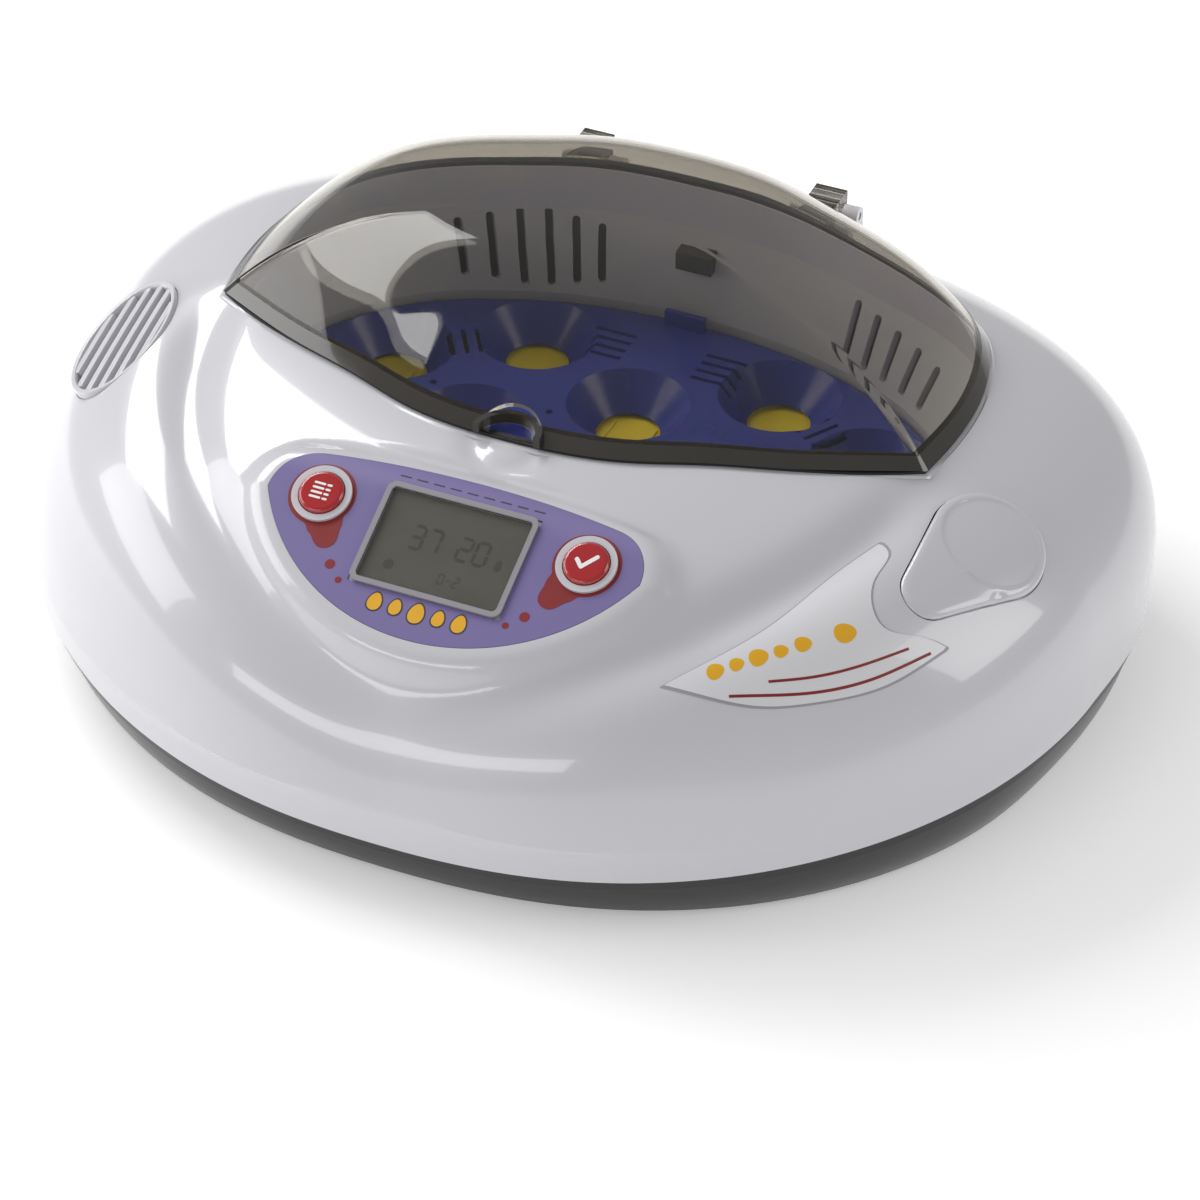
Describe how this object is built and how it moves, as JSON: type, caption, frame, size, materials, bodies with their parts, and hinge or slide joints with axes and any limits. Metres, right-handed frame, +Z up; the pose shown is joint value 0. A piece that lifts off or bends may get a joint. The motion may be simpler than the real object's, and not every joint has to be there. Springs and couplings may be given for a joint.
{
  "type": "egg incubator",
  "caption": "Low oval tabletop incubator: lift-off housing with hinged smoked window, tilted control panel, vent, water filler, egg tray and turning plate on a dark base.",
  "frame": {"origin": "centre of the footprint, on the surface that the incubator stands on", "axes": "+X to the right, -Y towards the user and the control panel, +Z up"},
  "size_m": [0.4054, 0.3123, 0.1469],
  "materials": {
    "base_plastic": "dark charcoal satin moulding",
    "housing_plastic": "glossy pearl white moulding",
    "liner_plastic": "light grey satin moulding",
    "window_smoke": "smoke-tinted clear polycarbonate",
    "seal_rubber": "soft black gasket",
    "foot_rubber": "matt black rubber",
    "tray_blue": "satin deep blue moulding",
    "plate_yellow": "satin yellow moulding",
    "water_plastic": "pale translucent tray",
    "frame_plastic": "grey engineering plastic",
    "panel_film": "printed lavender film",
    "lcd_bezel": "thin silver frame",
    "lcd_glass": "clear cover lens",
    "lcd_cell": "dark olive display cell",
    "button_red": "glossy red cap",
    "board_green": "solder-masked board",
    "component_black": "moulded component bodies",
    "steel": "zinc-plated steel",
    "motor_steel": "plated motor can",
    "gear_nylon": "natural nylon",
    "fan_black": "black fan moulding",
    "heater_mica": "wound mica board",
    "label_film": "clear-edged white sticker",
    "sensor_dark": "dark probe cap"
  },
  "bodies": {
    "base": {"base_tub": "base_plastic", "rubber_feet": "foot_rubber", "water_tray": "water_plastic", "tray_frame": "frame_plastic", "frame_screws": "steel", "egg_tray": "tray_blue", "turning_motor": "motor_steel", "motor_bracket": "steel", "power_inlet": "component_black", "power_board": "board_green"},
    "turning_plate": {"turning_plate": "plate_yellow", "turning_rack": "gear_nylon"},
    "pinion": {"drive_pinion": "gear_nylon"},
    "housing": {"upper_housing": "housing_plastic", "chamber_liner": "liner_plastic", "window_seal": "seal_rubber", "hinge_brackets": "housing_plastic", "hinge_pins": "steel", "panel_film": "panel_film", "lcd_bezel": "lcd_bezel", "lcd_lens": "lcd_glass", "lcd_module": "lcd_cell", "button_rings": "housing_plastic", "control_board": "board_green", "tact_switches": "component_black", "board_parts": "component_black", "buzzer": "component_black", "board_screws": "steel", "vent_grille": "housing_plastic", "fan_frame": "fan_black", "fan_bracket": "steel", "heater_element": "heater_mica", "heater_posts": "steel", "climate_sensor": "sensor_dark", "filler_tube": "water_plastic", "info_label": "label_film"},
    "window": {"window_dome": "window_smoke", "window_grip": "window_smoke", "hinge_lugs": "window_smoke"},
    "select_key": {"select_button": "button_red"},
    "confirm_key": {"confirm_button": "button_red"},
    "fan": {"fan_impeller": "fan_black"},
    "filler": {"filler_cover": "housing_plastic"}
  },
  "joints": [
    {"name": "housing_lift", "type": "slide", "parent": "base", "child": "housing", "axis": [0, 0, 1], "range_m": [0, 0.12]},
    {"name": "window_hinge", "type": "hinge", "parent": "housing", "child": "window", "pos_m": [0, 0.1345, 0.113], "axis": [-1, 0, 0], "range_deg": [0, 75]},
    {"name": "select_press", "type": "slide", "parent": "housing", "child": "select_key", "axis": [0, 0.4337, -0.9011], "range_m": [0, 0.001], "stiffness_N_per_m": 250, "springref_m": -0.0004},
    {"name": "confirm_press", "type": "slide", "parent": "housing", "child": "confirm_key", "axis": [0, 0.4337, -0.9011], "range_m": [0, 0.001], "stiffness_N_per_m": 250, "springref_m": -0.0004},
    {"name": "filler_lift", "type": "slide", "parent": "housing", "child": "filler", "axis": [0.4254, -0.1251, 0.8963], "range_m": [0, 0.04]},
    {"name": "fan_spin", "type": "hinge", "parent": "housing", "child": "fan", "pos_m": [-0.157, -0.01, 0.0685], "axis": [0, 0, 1], "continuous": true},
    {"name": "plate_slide", "type": "slide", "parent": "base", "child": "turning_plate", "axis": [1, 0, 0], "range_m": [-0.01, 0.01]},
    {"name": "pinion_spin", "type": "hinge", "parent": "base", "child": "pinion", "pos_m": [0, -0.036, 0.0422], "axis": [0, 0, 1], "range_deg": [-57.5, 57.5]}
  ],
  "couplings": [
    {"joint": "pinion_spin", "follows": "plate_slide", "rad_per_m": -100}
  ]
}
